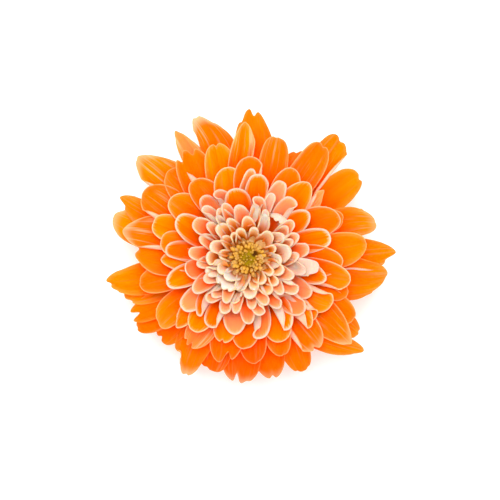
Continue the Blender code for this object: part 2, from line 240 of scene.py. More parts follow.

# One petal is the bearing of its tip, clockwise from +Y in degrees, its reach in mm and its share of the
# row's width, then what it does unlike the others. Angles are in degrees, "high" and "sway" in mm, and
# notches are (place across, depth in mm, breadth). "right" folds over the margin on its clockwise side and
# "left" the other, as (the angle it ends at, the share of the half-width where it starts), and "tipOpens" is
# how much of the fold is lost at the tip. "curlFrom" is where along it a petal rolls back. "pale" whitens
# all of it and "faded" its tip, the streak value adds pale streaks, partly the petal's own and partly a
# painted sheen, and a negative "tint" is a deeper red-orange: painted shade on the petals at the bottom,
# away from the key light.
guardRow = {
    "name": "guardPetals", "root": 9.8, "tip": 2.8, "width": 8.2, "thick": 0.24,  # mm, tips above the roots
    "bend": 44, "cup": 6, "curl": 12,  # degrees along the petal, across it and at its tip
    "widest": 0.62, "blunt": 2.1, "claw": 0.3,  # where it is widest, how square its tip, how broad its root
    "tube": 16, "opens": 0.9, "lip": 0, "tipLip": 0,  # degrees of the tube at the root and of flared margins
    "ridge": 0.14, "wave": 0.45, "nicks": 0.5,  # mm
    "columns": 30, "rows": 40, "rimBack": 0,  # with rimBack 1 the edge has the back's finish
    "face": orangeFace, "back": orangeBack, "blend": (0.15, 0.8), "veinShare": 0.4, "streak": 0.15,
    "shadeDeepening": 2.0, "blush": 0.06, "blushReach": 1.2, "throat": 0.7, "throatReach": 0.4,
    "rimFade": (0.1, 0.25), "rimShare": 0.3, "rimAlong": (0.1, 0.5), "tipRim": 0.0,
    "paleColour": (0.95, 0.55, 0.32),
    "petals": (
        (2.2, 39.4, 1.32, {"blunt": 1.6, "notches": ((0.05, 2.4, 0.14), (-0.55, 1.4, 0.12)), "lean": -4}),
        (20, 30.4, 0.9, {"notches": ((0.0, 1.8, 0.2),)}),
        (27, 31.4, 1.05, {"notches": ((-0.3, 0.8, 0.13), (0.25, 0.7, 0.13)), "blunt": 1.9}),
        (38.3, 39.6, 1.1, {"blunt": 2.8, "notches": ((0.1, 0.8, 0.18),), "right": (155, 0.64)}),
        (52.6, 36.4, 1.06, {"blunt": 2.7, "notches": ((0.2, 0.7, 0.16),), "curl": 4}),
        (72, 34.8, 1.08, {"blunt": 2.2, "skew": 0.35, "sway": -0.4, "streak": 0.7, "faded": 0.3}),
        (88.5, 38.8, 1.25, {"blunt": 1.45, "notches": ((0.3, 1.4, 0.16),), "right": (155, 0.62),
                            "streak": 0.4}),
        (100.8, 36.6, 1.5, {"blunt": 1.7, "skew": -0.35, "streak": 0.3}),
        (124.5, 35.2, 0.95, {"curl": 6}),
        (129.2, 38.9, 0.85, {"lean": -12, "sway": 2.0, "blunt": 1.7, "wave": 0.9, "streak": 0.2}),
        (154, 33.0, 0.95, {"blunt": 2.5}),
        # the negative tints on these petals at the bottom are painted shade, away from the key light
        (168.5, 32.3, 1.1, {"notches": ((0.0, 1.0, 0.12),), "tint": -0.15, "faded": 0.3}),
        (183.5, 32.9, 1.35, {"notches": ((0.12, 2.8, 0.1), (-0.35, 0.6, 0.14)), "tint": -0.25,
                             "faded": 0.4}),
        (199, 31.0, 1.1, {"blunt": 2.7, "tint": -0.2}),
        (210.8, 34.9, 1.2, {"blunt": 1.7, "skew": -0.25, "notches": ((0.55, 2.8, 0.2), (-0.1, 0.6, 0.1)),
                            "tint": 0.1, "faded": 0.5}),
        (227.4, 31.4, 1.0, {"blunt": 2.7, "notches": ((0.15, 1.0, 0.12),), "tint": -0.08}),
        (236.5, 34.6, 1.0, {"curl": 2, "tint": -0.05}),
        (243.3, 34.5, 0.85, {"notches": ((0.0, 3.0, 0.22),), "blunt": 2.3, "tint": 0.2}),
        (252.6, 33.9, 1.1, {"notches": ((-0.4, 0.9, 0.14),)}),
        (258.4, 37.9, 1.05, {"blunt": 1.6, "skew": 0.3, "notches": ((-0.15, 1.2, 0.15),)}),
        (286.8, 36.9, 1.4, {"notches": ((0.4, 1.8, 0.2),), "streak": 0.4, "faded": 0.45}),
        (293.4, 37.3, 0.95, {"blunt": 1.6, "skew": 0.3, "notches": ((-0.3, 1.4, 0.2),)}),
        (312.8, 39.4, 1.4, {"blunt": 1.5, "left": (155, 0.62), "streak": 0.8, "faded": 0.5}),
        (330.2, 38.4, 0.78, {"blunt": 1.5, "streak": 1.0, "pale": 0.15}),
        (344, 39.6, 1.18, {"blunt": 1.6, "skew": -0.6, "streak": 0.9, "curl": 4, "faded": 0.75}),
    ),
}
secondRow = dict(
    guardRow, name="secondPetals", root=9.2, tip=9.2, width=8.0, bend=41, cup=8, curl=6,
    widest=0.64, blunt=2.2, tube=21, ridge=0.12, wave=0.3, nicks=0.3,
    face=dict(orangeFace, rim=(1.0, 0.48, 0.2)), blush=0.1, rimFade=(0.05, 0.3), rimShare=0.65,
    petals=(
        (14, 32.3, 0.98, {"blunt": 2.8, "streak": 0.7}),
        (33.9, 35.4, 1.05, {"blunt": 2.6, "streak": 0.8, "notches": ((0.1, 0.6, 0.14),)}),
        (47.8, 26.5, 0.75, {"blunt": 1.3, "streak": 1.6, "left": (160, 0.2), "pale": 0.2}),
        (66, 27.0, 0.9),
        (84, 31.0, 1.2, {"blunt": 2.1}),
        (109, 27.5, 1.0),
        (120.5, 31.9, 1.1, {"blunt": 2.0, "curl": 2}),
        (129, 34.9, 1.15, {"blunt": 1.5, "streak": 0.7, "faded": 0.4}),
        (142.4, 29.8, 1.3, {"blunt": 2.0, "notches": ((0.1, 1.2, 0.1),), "right": (150, 0.5), "streak": 1.2,
                            "faded": 0.4}),
        # the negative tints on these petals at the bottom are painted shade, away from the key light
        (160, 27.0, 0.9, {"tint": -0.08}),
        (176, 27.5, 1.0, {"tint": -0.3}),
        (194, 28.2, 1.15, {"notches": ((-0.25, 3.2, 0.2),), "blunt": 2.0, "tint": -0.15}),
        (212.9, 27.7, 1.0, {"notches": ((0.0, 1.4, 0.1), (0.4, 1.0, 0.1)), "streak": 1.4, "pale": 0.1}),
        (235.3, 28.9, 1.0, {"blunt": 2.5, "skew": -0.3}),
        (256, 29.0, 0.95),
        (270.5, 29.9, 1.2, {"blunt": 1.8, "skew": 0.4, "notches": ((0.05, 1.6, 0.2),)}),
        (282.7, 33.3, 1.3, {"blunt": 1.6, "streak": 1.6, "left": (165, 0.66), "faded": 0.5}),
        (302.8, 32.2, 1.4, {"left": (165, 0.6), "blunt": 2.1, "streak": 0.4}),
        (318.5, 30.7, 1.4, {"blunt": 1.9, "right": (168, 0.5), "streak": 0.5}),
        (329.8, 32.6, 1.25, {"notches": ((-0.35, 2.2, 0.16), (0.3, 2.0, 0.16)), "blunt": 2.4, "tint": 0.2}),
        (344.5, 30.9, 1.1, {"notches": ((0.05, 0.7, 0.1),)}),
        (359.5, 35.4, 0.9, {"lean": 7, "blunt": 1.6, "ridge": 0.3, "streak": 1.3, "right": (150, 0.66)}),
    ),
)
thirdRow = dict(
    guardRow, name="thirdPetals", root=8.6, tip=11.8, width=7.5, bend=40, cup=8, curl=-4,
    widest=0.66, blunt=2.3, tube=34, lip=12, tipLip=8, ridge=0.06, wave=0.18, nicks=0.1,
    face=dict(orangeFace, rim=(0.94, 0.59, 0.36)), back=peachBack,
    streak=0.1, blush=0.2, blushReach=0.9, rimFade=(0.0, 0.34), rimShare=0.85,
    petals=(
        (0.5, 26.3, 1.15, {"right": (165, 0.62), "blunt": 2.2}),
        (27, 26.0, 1.0),
        (38.5, 25.0, 1.0, {"blunt": 1.9}),
        (64.2, 26.0, 1.15, {"blunt": 2.2}),
        (92.8, 24.6, 1.12, {"blunt": 1.9}),
        (102.2, 27.1, 1.05, {"right": (158, 0.62), "blunt": 2.1, "high": 0.4}),
        (120, 24.8, 1.05, {"left": (155, 0.55)}),
        (132, 23.4, 1.0, {"left": (155, 0.3), "high": 0.3}),
        (137.5, 24.1, 1.1, {"right": (158, 0.05), "blunt": 1.7, "high": 0.5, "tipOpens": 0.2}),
        (156.8, 23.3, 1.05),
        # the negative tint on this petal at the bottom is painted shade, away from the key light
        (181.4, 23.5, 1.05, {"left": (155, 0.8), "tint": -0.08}),
        (197.3, 22.8, 0.9, {"notches": ((0.0, 0.8, 0.1),)}),
        (217.7, 23.6, 0.95),
        (228.3, 25.8, 0.75, {"blunt": 1.6, "skew": -0.4}),
        (268.8, 22.6, 0.95, {"cup": 10, "blunt": 1.5, "high": -0.8}),
        (281.3, 23.0, 1.0),
        (290.4, 26.2, 1.0, {"blunt": 2.7}),
        (308, 25.3, 1.12, {"blunt": 2.2}),
        (325, 24.6, 1.05),
        (345.4, 24.1, 1.08, {"blunt": 2.3}),
    ),
)
fourthRow = dict(
    guardRow, name="fourthPetals", root=8.0, tip=12.6, width=6.2, thick=0.26, bend=36, cup=15, curl=-20,
    widest=0.66, blunt=2.4, claw=0.4, tube=70, lip=30, tipLip=22, ridge=0.04, wave=0.12, nicks=0.0, rimBack=1,
    face=dict(orangeFace, rim=(0.71, 0.55, 0.44), patch=(0.98, 0.5, 0.28)), back=paleBack,
    streak=0.0, blush=0.8, blushReach=1.1, rimFade=(0.0, 0.38), rimShare=0.95, tipRim=0.2,
    paleColour=(0.92, 0.47, 0.3),
    petals=(
        (2.1, 23.1, 0.75, {"cup": 20, "roll": 24, "lean": 14, "pale": 0.2}),
        (7.0, 21.8, 1.05, {"right": (150, 0.74)}),
        (23.5, 21.7, 0.85, {"cup": 32, "pale": 0.45}),
        (37.1, 19.3, 0.98, {"right": (155, 0.35), "pale": 0.4, "high": 0.4}),
        (53.2, 19.6, 1.0, {"blunt": 2.0}),
        (74.7, 22.0, 1.05),
        (104.6, 20.9, 0.98, {"blunt": 1.9, "left": (150, 0.7)}),
        (120.6, 18.9, 0.85, {"pale": 0.35}),
        (135.3, 20.1, 1.05, {"left": (155, 0.62), "pale": 0.2, "high": 0.6}),
        (149.9, 21.2, 1.2, {"right": (158, 0.15), "blunt": 1.8, "high": 0.3, "tipOpens": 0.3}),
        (171.5, 21.0, 1.15, {"right": (160, 0.2), "pale": 0.15, "high": 0.4}),
        (190.2, 20.1, 1.1, {"pale": 0.3, "blunt": 2.0}),
        (209.4, 20.4, 1.0, {"left": (152, 0.4), "high": 0.4, "tipOpens": 0.5}),
        (221.1, 19.6, 0.95, {"left": (155, 0.12), "blunt": 1.7, "high": 1.2, "tipOpens": 0.3}),
        (232.2, 21.4, 0.98, {"pale": 0.3, "high": 0.3}),
        (253.1, 22.0, 1.02),
        (276, 21.4, 0.85),
        (298, 21.1, 1.2),
        (323.6, 19.7, 0.8, {"curl": -40, "pale": 0.25}),
        (335.7, 19.2, 0.85, {"left": (155, 0.3), "pale": 0.4, "high": 0.4}),
        (349.2, 18.3, 1.2, {"blunt": 2.3}),
    ),
)
fifthRow = dict(
    fourthRow, name="fifthPetals", root=6.9, tip=12.0, width=5.2, thick=0.3, bend=30, cup=33, curl=-30,
    blunt=2.3, claw=0.5, tube=105, opens=0.5, lip=55, tipLip=40, ridge=0.03, wave=0.1, columns=30, rows=36,
    face=dict(
        low=(1.0, 0.1, 0.0), high=(1.0, 0.29, 0.09), light=(1.0, 0.38, 0.18), vein=(1.0, 0.18, 0.02),
        rim=(0.69, 0.56, 0.46), patch=(0.94, 0.52, 0.36), throat=(1.0, 0.13, 0.0)
    ),
    blend=(0.38, 1.0), veinShare=0.3, shadeDeepening=0.0, blush=0.6, blushReach=1.2, throat=0.8, throatReach=0.6,
    rimFade=(0.0, 0.3), rimShare=1.0, rimAlong=(0.3, 0.75), tipRim=0.15, paleColour=(0.72, 0.53, 0.42),
    petals=(
        (9.3, 16.0, 1.15, {"left": (160, 0.2)}),
        (21.5, 17.9, 0.72, {"cup": 48, "pale": 0.5}),
        (35.7, 13.8, 1.2, {"curl": -190, "curlFrom": 0.7, "cup": 22, "lip": 0, "blunt": 3.0,
                          "notches": ((0.2, 0.5, 0.1), (-0.3, 0.4, 0.12))}),
        (50, 15.0, 0.8),
        (65.8, 14.3, 0.85, {"left": (155, 0.5), "blunt": 1.9}),
        (81.2, 15.9, 0.92, {"blunt": 2.6}),
        (98.2, 18.4, 0.95, {"cup": 10, "blunt": 2.8, "curl": 14, "notches": ((0.8, 1.6, 0.25),),
                            "pale": 1.0}),
        (102.5, 15.2, 0.8, {"cup": 34, "pale": 0.8}),
        (123.8, 15.5, 1.0, {"left": (155, 0.35)}),
        (147.8, 15.2, 0.88, {"left": (155, 0.5), "blunt": 1.9}),
        (166.8, 15.1, 1.0, {"left": (155, 0.3)}),
        (180, 16.9, 0.88),
        (205, 15.6, 0.8, {"left": (150, 0.55)}),
        (222, 15.2, 0.85, {"right": (155, 0.55)}),
        (238.6, 16.5, 0.95),
        (258, 16.2, 1.15, {"curl": -110, "curlFrom": 0.78}),
        (275, 15.3, 0.9),
        (303.4, 16.9, 1.1, {"left": (155, 0.7), "right": (140, 0.74)}),
        (319, 17.6, 0.8, {"left": (150, 0.3), "pale": 0.3}),
        (336, 15.4, 0.75),
    ),
)
sixthRow = dict(
    fifthRow, name="sixthPetals", root=6.4, tip=11.2, width=4.8, bend=22, cup=41, curl=-22,
    blunt=2.0, claw=0.55, tube=120, lip=65, rimFade=(0.0, 0.32), tipRim=0.2,
    face=dict(
        low=(1.0, 0.13, 0.0), high=(1.0, 0.39, 0.17), light=(1.0, 0.49, 0.28), vein=(1.0, 0.26, 0.04),
        rim=(0.7, 0.57, 0.46), patch=(0.92, 0.54, 0.38), throat=(1.0, 0.15, 0.0)
    ),
    petals=(
        (8.9, 14.1, 0.78), (20.6, 13.3, 0.6, {"cup": 55, "pale": 0.7}), (52, 13.0, 0.85), (68, 12.4, 0.7),
        (88, 13.2, 0.8), (113, 12.8, 0.85), (136, 12.9, 0.8), (158, 13.0, 0.85, {"left": (155, 0.55)}),
        (176, 13.2, 0.75), (192.3, 14.7, 0.75), (207, 13.0, 0.75), (222, 13.6, 0.95, {"right": (155, 0.35)}),
        (242.5, 12.7, 0.9, {"pale": 0.3}), (262, 13.2, 0.85), (292.6, 13.6, 1.05), (310, 13.8, 0.8),
        (323.8, 13.6, 0.6, {"cup": 55, "roll": 20, "pale": 0.7}), (328.5, 14.8, 1.0), (349.4, 13.9, 1.0),
    ),
)
seventhRow = dict(
    sixthRow, name="seventhPetals", root=5.8, tip=10.3, width=4.9, thick=0.34, bend=16, cup=47, curl=-20,
    claw=0.62, tube=130, opens=0.45, lip=80, throatReach=0.85, rimFade=(0.0, 0.38), tipRim=0.3,
    face=dict(
        low=(1.0, 0.22, 0.0), high=(1.0, 0.52, 0.23), light=(1.0, 0.62, 0.36), vein=(1.0, 0.36, 0.06),
        rim=(0.75, 0.65, 0.54), patch=(0.88, 0.56, 0.36), throat=(1.0, 0.22, 0.0)
    ),
    back=creamBack, paleColour=(0.84, 0.78, 0.68),
    petals=(
        (357.5, 10.7, 0.9), (22.8, 12.5, 0.8, {"cup": 52, "pale": 0.8, "lip": 20}),
        (57.4, 10.9, 0.9, {"pale": 0.5, "cup": 30}), (80, 11.2, 1.3, {"pale": 0.7}), (111.8, 9.8, 1.0),
        (130.4, 10.2, 0.85), (147, 10.8, 1.2), (175, 10.4, 1.0, {"pale": 0.4}),
        (200, 12.1, 1.4, {"pale": 0.6, "curl": -90, "curlFrom": 0.76}),
        (216.7, 10.2, 1.5, {"pale": 1.0, "cup": 16, "lip": 0, "blunt": 2.4,
                            "notches": ((0.35, 1.3, 0.14), (-0.25, 0.8, 0.1), (-0.7, 1.0, 0.12))}),
        (250.8, 11.5, 1.0, {"pale": 0.6, "cup": 30, "right": (155, 0.3)}),
        (267.5, 10.7, 1.3, {"left": (155, 0.35)}), (288.7, 10.3, 1.1, {"pale": 0.3}), (316, 11.6, 1.1),
        (333, 11.4, 0.8, {"cup": 52, "blunt": 1.6}),
    ),
)
eighthRow = dict(
    seventhRow, name="eighthPetals", root=4.8, tip=8.2, width=4.6, bend=8, cup=54, curl=-18,
    claw=0.75, tube=140, opens=0.4, lip=85, columns=26, rows=30, throat=0.85, throatReach=0.75,
    # the darker throat here is painted shade deep in the innermost cups
    face=dict(
        low=(1.0, 0.25, 0.0), high=(1.0, 0.6, 0.24), light=(1.0, 0.7, 0.38), vein=(1.0, 0.42, 0.06),
        rim=(0.77, 0.67, 0.55), patch=(0.88, 0.58, 0.34), throat=(0.62, 0.15, 0.0)
    ),
    rimFade=(0.1, 0.5),
    petals=(
        (11.2, 8.1, 0.75), (41.8, 8.8, 1.15, {"pale": 0.3}), (68, 7.6, 0.8),
        (96, 8.7, 1.1, {"pale": 0.9, "cup": 40}),
        (122, 7.7, 0.8), (147.2, 7.7, 1.0), (167.8, 8.5, 0.95), (194.4, 8.8, 1.3, {"pale": 0.8, "cup": 66}),
        (226, 7.9, 1.1, {"pale": 1.0, "cup": 34}), (247.9, 8.5, 1.0, {"pale": 0.5}), (278.3, 7.5, 0.95),
        (308, 8.7, 0.9), (327, 7.5, 0.75), (344.2, 8.0, 0.95),
    ),
)


def smooth(value, low, high):
    share = np.clip((value - low) / (high - low), 0, 1)
    return share * share * (3 - 2 * share)


# Places and weights that add up the slices from the midrib to a point of the cross-section
gaussPlaces, gaussWeights = np.polynomial.legendre.leggauss(20)
gaussPlaces, gaussWeights = 0.5 * (gaussPlaces + 1), 0.5 * gaussWeights


def flatBlade(gridX, gridY, half, length, widest, claw, blunt, bodyRows=0.6):
    # The outline of a petal or bract: rows of the claw and blade, then a rounded tip that the last rows close
    # up to. Gives places across from -1 to 1 and along from 0 to 1, with the distance from the margin
    past = np.clip((gridY - bodyRows) / (1 - bodyRows), 0, 1)
    body = gridY <= bodyRows
    bodyAlong = widest * gridY / bodyRows
    grown = np.sin(0.5 * np.pi * np.clip(bodyAlong / widest, 0, 1)) ** 0.9
    tipX = gridX * np.sqrt(1 - past ** 2 / 2)
    tipA = past * np.sqrt(1 - gridX ** 2 / 2)
    plain = np.hypot(tipX, tipA) + 1e-9
    fuller = plain / (np.abs(tipX) ** blunt + tipA ** blunt + 1e-12) ** (1 / blunt)
    tipX, tipA = tipX * fuller, tipA * fuller
    shareX = np.where(body, gridX, tipX)
    localHalf = half * np.where(body, claw + (1 - claw) * grown, 1)
    along = np.where(body, bodyAlong, widest + (1 - widest) * tipA)
    level = np.where(body, np.abs(gridX), (np.abs(tipX) ** blunt + tipA ** blunt) ** (1 / blunt))
    steepX = (level + 1e-9) ** (1 - blunt) * np.abs(tipX) ** (blunt - 1) / half
    steepA = (level + 1e-9) ** (1 - blunt) * tipA ** (blunt - 1) / ((1 - widest) * length)
    fromEdge = np.where(body, (1 - level) * localHalf, (1 - level) / (np.hypot(steepX, steepA) + 1e-6))
    return shareX, along, localHalf, fromEdge, past


petalDraws = {  # how far the petals of one row differ
    "tip": 0.5, "bend": 4, "usualRoll": 9, "roll": 3, "cup": (0.8, 1.2), "lean": 4, "curl": (0.3, 1.5),
    "twist": 9, "blunt": (-0.25, 0.2), "nicks": 2, "nickPlace": 0.45, "nickBreadth": 0.12, "skew": 0.12,
    "ripples": (1.2, 2.4), "sway": 0.5,
}
petalForm = {  # where along a petal, or across it, things start and are full
    "steps": 80, "curlFrom": 0.62, "rollOver": 0.08, "tipLip": (0.86, 0.98), "mostTurned": 0.35,
    "lipAlong": (0.1, 0.5), "lipAcross": (0.66, 0.95),
    "foldAlong": (0.25, 0.55), "foldAcross": 0.24, "foldTip": (0.86, 1.0), "tipOpens": 0.85,
    "notchTip": 2.5, "grooves": 3, "grooveEnds": 0.7, "waveAlong": (0.2, 0.6), "wavesApart": 1.7,
    "fadeAlong": (0.72, 1.02),
}


def around(draws, spread):
    return draws.uniform(-spread, spread)


def petalTraits(look, odd, chance, whim):
    # The row's values, those drawn for this petal, and its odd ones in their place
    size = petalDraws
    drawn = {
        "tip": look["tip"] + around(chance, size["tip"]) + odd.get("high", 0),
        "bend": look["bend"] + around(chance, size["bend"]),
        "roll": size["usualRoll"] + around(chance, size["roll"]),
        "cup": look["cup"] * chance.uniform(*size["cup"]),
        "lean": around(chance, size["lean"]),
        "curl": look["curl"] * whim.uniform(*size["curl"]),
        "twist": around(whim, size["twist"]),
        "blunt": look["blunt"] + whim.uniform(*size["blunt"]),
        "notches": [
            (around(whim, size["nickPlace"]), look["nicks"] * whim.random(), size["nickBreadth"])
            for _ in range(size["nicks"])
        ],
        "skew": around(whim, size["skew"]),
        "phase": whim.uniform(0, math.tau),
        "ripples": whim.uniform(*size["ripples"]),
        "sway": around(whim, size["sway"]),
        "tint": whim.random(),
        "streak": look["streak"] * 2 * whim.random(),
    }
    return {**look, "pale": 0.0, "faded": 0.0, "tipOpens": petalForm["tipOpens"], **drawn, **odd}


def midrib(petal, run):
    # Side view: an arc whose tip curls, turned so that the tip stands where the row has it
    size = petalForm
    bend, curl = math.radians(petal["bend"]), math.radians(petal["curl"])
    incline = math.atan2(petal["tip"] * mm, run)
    rise, fall = incline + 0.5 * bend, incline - 0.5 * bend
    steps = np.linspace(0, 1, size["steps"] + 1)
    slopes = rise + (fall - rise) * steps - curl * smooth(steps, petal.get("curlFrom", size["curlFrom"]), 1.0)
    slopes = slopes - math.radians(petal["tipLip"]) * smooth(steps, *size["tipLip"])
    chord = math.atan2(np.sin(slopes).sum(), np.cos(slopes).sum())
    slopes = slopes + np.clip(incline - chord, -size["mostTurned"], size["mostTurned"])
    middles = 0.5 * (slopes[1:] + slopes[:-1])
    out = np.concatenate([[0], np.cumsum(np.cos(middles))]) / size["steps"]
    up = np.concatenate([[0], np.cumsum(np.sin(middles))]) / size["steps"]
    return steps, slopes, out, up


def crossSection(petal, shareX, along):
    # An arc with its margins flared outwards or folded over: how far each place lies sideways and upwards, as
    # a share of its distance from the midrib, and how much of it shows the back
    size = petalForm
    s = shareX[:, None] * gaussPlaces
    tube, cup = math.radians(petal["tube"]), 2 * math.radians(petal["cup"])
    tight = (tube + (cup - tube) * smooth(along, 0.0, petal["opens"]))[:, None]
    lip = math.radians(petal["lip"]) * smooth(along, *size["lipAlong"])[:, None]
    angle = tight * s - lip * np.sign(s) * smooth(np.abs(s), *size["lipAcross"])
    bent = smooth(along, *size["foldAlong"]) * (1 - petal["tipOpens"] * smooth(along, *size["foldTip"]))
    under = np.zeros(len(along))
    if "curlFrom" in petal:
        under = smooth(along, petal["curlFrom"], petal["curlFrom"] + size["rollOver"])
    for side, margin in ((1, "right"), (-1, "left")):
        if margin in petal:
            final, start = petal[margin]
            full, final = start + size["foldAcross"], side * math.radians(final)
            angle = angle + (final - angle) * smooth(side * s, start, full) * bent[:, None]
            under = np.maximum(under, smooth(side * shareX, start, full) * bent)
    return np.cos(angle) @ gaussWeights, np.sin(angle) @ gaussWeights, under


def petalShape(look, rootHeight, spec, chance, whim, gridX, gridY):
    size = petalForm
    bearing, reach, share = spec[:3]
    petal = petalTraits(look, spec[3] if len(spec) > 3 else {}, chance, whim)
    root, half = petal["root"] * mm, 0.5 * petal["width"] * share * mm
    run = reach * mm - root
    steps, slopes, outSteps, upSteps = midrib(petal, run)
    length = run / outSteps.max()
    shareX, along, localHalf, fromEdge, past = flatBlade(
        gridX, gridY, half, length, petal["widest"], petal["claw"], petal["blunt"]
    )
    for place, depth, breadth in petal["notches"]:
        cut = depth * mm / length * np.exp(-((shareX - place) / breadth) ** 2)
        along = along - cut * past ** size["notchTip"]
    slope = np.interp(along, steps, slopes)
    out = np.interp(along, steps, outSteps) * length
    up = np.interp(along, steps, upSteps) * length

    # Across the midrib, with grooves and a wave along the margins
    sideways, upwards, under = crossSection(petal, shareX, along)
    x = localHalf * shareX * sideways
    height = localHalf * shareX * upwards
    ends = np.sin(np.pi * np.clip(along, 0, 1)) ** size["grooveEnds"]
    height = height - petal["ridge"] * mm * (np.cos(size["grooves"] * np.pi * shareX) * ends)
    phase = math.tau * petal["ripples"] * along + petal["phase"] + size["wavesApart"] * (shareX > 0)
    ripple = np.abs(shareX) ** 3 * np.sin(phase)
    height = height + petal["wave"] * mm * ripple * smooth(along, *size["waveAlong"])
    x = x + petal["skew"] * half * past ** 2 * (1 - shareX ** 2)

    # Rolled and twisted about the midrib, leaning and swaying, then turned to its bearing
    turn = math.radians(petal["roll"]) + math.radians(petal["twist"]) * (along - 0.5)
    sideX, sideUp = np.cos(turn) * x + np.sin(turn) * height, -np.sin(turn) * x + np.cos(turn) * height
    sway = petal["sway"] * mm * np.sin(np.pi * along)
    px = sideX + math.sin(math.radians(petal["lean"])) * (out - run) + sway
    py = root + out - np.sin(slope) * sideUp
    pz = rootHeight + up + np.cos(slope) * sideUp
    angle = math.radians(bearing)
    cosine, sine = math.cos(angle), math.sin(angle)
    points = np.stack([px * cosine + py * sine, py * cosine - px * sine, pz], 1)
    facts = {
        "fromEdge": fromEdge / mm, "tint": petal["tint"], "streak": petal["streak"], "under": under,
        "pale": petal["pale"] + petal["faded"] * smooth(past, *size["fadeAlong"]),
    }
    return points, facts


def selectOnly(*objects):
    bpy.ops.object.select_all(action="DESELECT")
    for thing in objects:
        thing.select_set(True)
    bpy.context.view_layer.objects.active = objects[0]


def joined(name, objects):
    selectOnly(*objects)
    bpy.ops.object.join()
    piece = bpy.context.view_layer.objects.active
    piece.name = piece.data.name = name
    return piece


def applied(piece, kind, **settings):
    selectOnly(piece)
    modifier = piece.modifiers.new(kind.lower(), kind)
    for setting, value in settings.items():
        setattr(modifier, setting, value)
    bpy.ops.object.modifier_apply(modifier=modifier.name)


def meshPoints(thing):
    flat = np.empty(len(thing.data.vertices) * 3)
    thing.data.vertices.foreach_get("co", flat)
    return flat.reshape(-1, 3)


def bladeTemplate(columns, rows):
    bpy.ops.mesh.primitive_grid_add(x_subdivisions=columns, y_subdivisions=rows, size=1)
    template = bpy.context.active_object
    flat = meshPoints(template)
    gridX, gridY = 2 * flat[:, 0], flat[:, 1] + 0.5
    return template, 0.6 * gridX + 0.4 * np.sin(0.5 * np.pi * gridX), gridY     # finer towards the margins


def copyShaped(template, points, facts):
    blade = template.copy()
    blade.data = template.data.copy()
    bpy.context.collection.objects.link(blade)
    blade.data.vertices.foreach_set("co", points.ravel())
    for name, value in facts.items():
        layer = blade.data.attributes.new(name, "FLOAT", "POINT")
        layer.data.foreach_set("value", np.broadcast_to(value, len(points)).astype(np.float32))
    return blade


def finished(piece, node, slot, degrees, *skins):
    for skin in skins:
        piece.data.materials.append(skin)
    selectOnly(piece)
    bpy.ops.object.shade_smooth_by_angle(angle=math.radians(degrees))
    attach(piece, "root")
    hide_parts(node)
    print(piece.name, len(piece.data.polygons), "faces")


def growRow(look, number, rootHeight):
    template, gridX, gridY = bladeTemplate(look["columns"], look["rows"])
    chance, whim = random.Random(petalSeed + number), random.Random(whimSeed + number)
    grown = []
    for spec in look["petals"]:
        points, facts = petalShape(look, rootHeight, spec, chance, whim, gridX, gridY)
        grown.append(copyShaped(template, points, facts))
    bpy.data.objects.remove(template)
    piece = joined(look["name"], grown)
    for side in ("face", "back"):
        piece.data.materials.append(petalFinish(look, side))
    applied(piece, "SOLIDIFY", thickness=look["thick"] * mm, offset=-1, material_offset=1,
            material_offset_rim=look["rimBack"])
    return piece


def turnedPiece(name, profile, sides=64):
    # A round solid, extruded ring by ring up its profile of (radius, height)
    radius, height = profile[0]
    bpy.ops.mesh.primitive_circle_add(
        vertices=sides, radius=radius, fill_type="NGON", location=(0, 0, height)
    )
    piece = bpy.context.active_object
    piece.name = piece.data.name = name
    bpy.ops.object.transform_apply(location=True, rotation=True, scale=True)
    bpy.ops.object.mode_set(mode="EDIT")
    bpy.ops.mesh.select_all(action="SELECT")
    for (nearRadius, nearHeight), (farRadius, farHeight) in zip(profile, profile[1:]):
        grow = farRadius / nearRadius
        bpy.ops.mesh.extrude_region_move(TRANSFORM_OT_translate={"value": (0, 0, farHeight - nearHeight)})
        bpy.ops.transform.resize(value=(grow, grow, 1), center_override=(0, 0, farHeight))
    bpy.ops.mesh.select_all(action="SELECT")
    bpy.ops.mesh.normals_make_consistent(inside=False)
    bpy.ops.object.mode_set(mode="OBJECT")
    return piece


rayBase = {
    "outer": (10.8 * mm, 0, 2.5 * mm), "inner": (7.4 * mm, 0.8 * mm, 3.6 * mm),  # radius, flare, height
    "rounding": 0.4 * mm, "closesTo": 0.3, "dark": (0.55, 0.3, 0.08), "light": (0.75, 0.5, 0.2),
}


def baseFinish():
    skin = Finish("rayBaseSkin", Specular_IOR_Level=0.2, Roughness=0.6)
    grain = skin.noise(skin.here(), 900.0, 3.0)
    skin.paint(skin.mix(grain.between(0.35, 0.7), rayBase["dark"], rayBase["light"]))
    skin.relief(grain, 0.05 * mm)
    return skin.material


def rays():
    rows = (guardRow, secondRow, thirdRow, fourthRow, fifthRow, sixthRow, seventhRow, eighthRow)
    for number, look in enumerate(rows):
        side, roots = ("outer", outerRoots) if number < 4 else ("inner", innerRoots)
        finished(growRow(look, number, roots), side + "_rays", side + "_petals", 55)
    skin, step = baseFinish(), rayBase["rounding"]
    for side, foot in (("outer", outerFoot), ("inner", innerFoot)):
        radius, flare, height = rayBase[side]
        top = foot + height
        ring = turnedPiece(side + "RayBase", (
            (radius - step, foot), (radius, foot + step), (radius + flare, top - step),
            (radius + flare - step, top), (rayBase["closesTo"] * radius, top)
        ))
        finished(ring, side + "_rays", side + "_petals", 50, skin)


